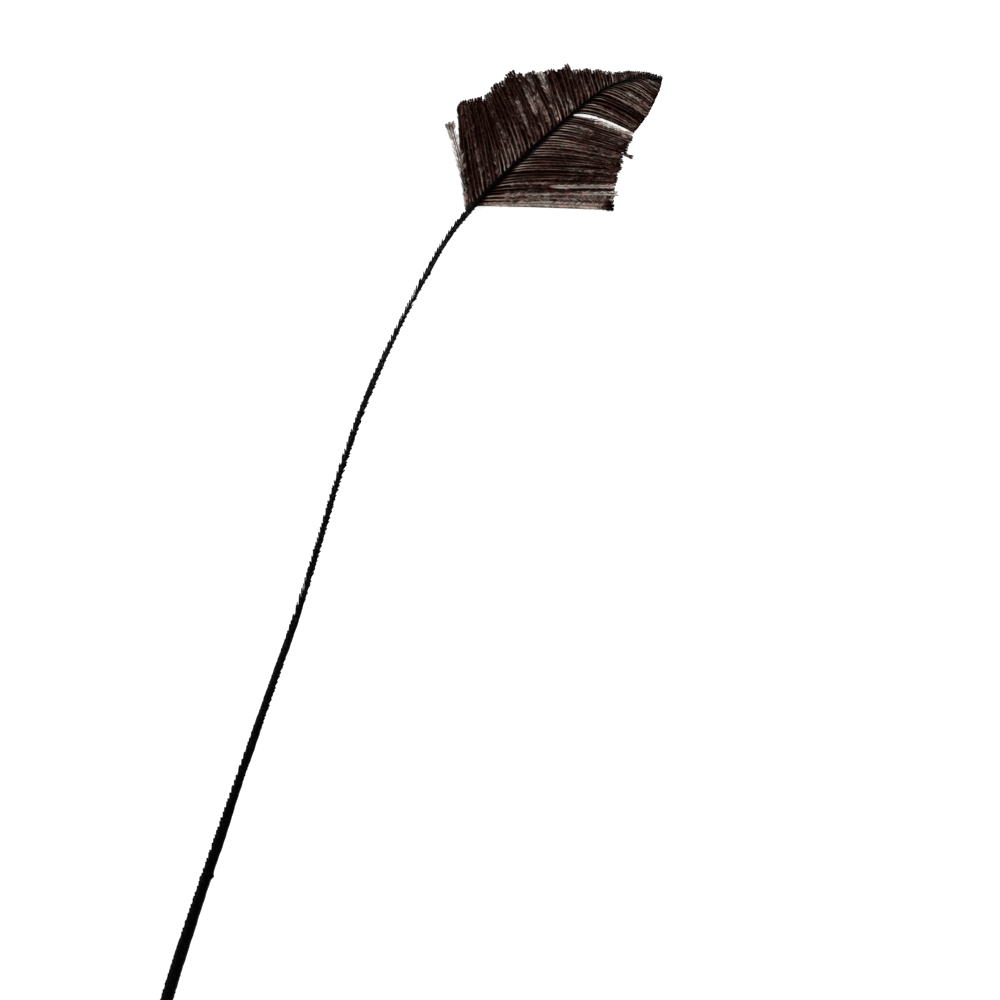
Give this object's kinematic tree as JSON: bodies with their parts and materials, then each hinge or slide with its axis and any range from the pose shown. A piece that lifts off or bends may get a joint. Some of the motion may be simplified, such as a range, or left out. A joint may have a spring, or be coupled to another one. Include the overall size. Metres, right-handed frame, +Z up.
{
  "type": "ostrich feather quill",
  "caption": "Long stripped feather shaft with a thick rounded butt, tapering through a slight bend to a trimmed arrowhead of barbs at the tip; lies flat.",
  "frame": {"origin": "on the flat underside of the shaft, 30 mm above the butt's end, where the feather lies on a surface", "axes": "+Y up the quill towards the arrowhead, +X towards the side the arrowhead leans to, +Z up off the surface"},
  "size_m": [0.0667, 0.481, 0.005],
  "materials": {
    "dyed_quill": "satin",
    "dyed_barbs": "matte"
  },
  "bodies": {
    "root": {"feather": "dyed_quill"}
  },
  "joints": []
}
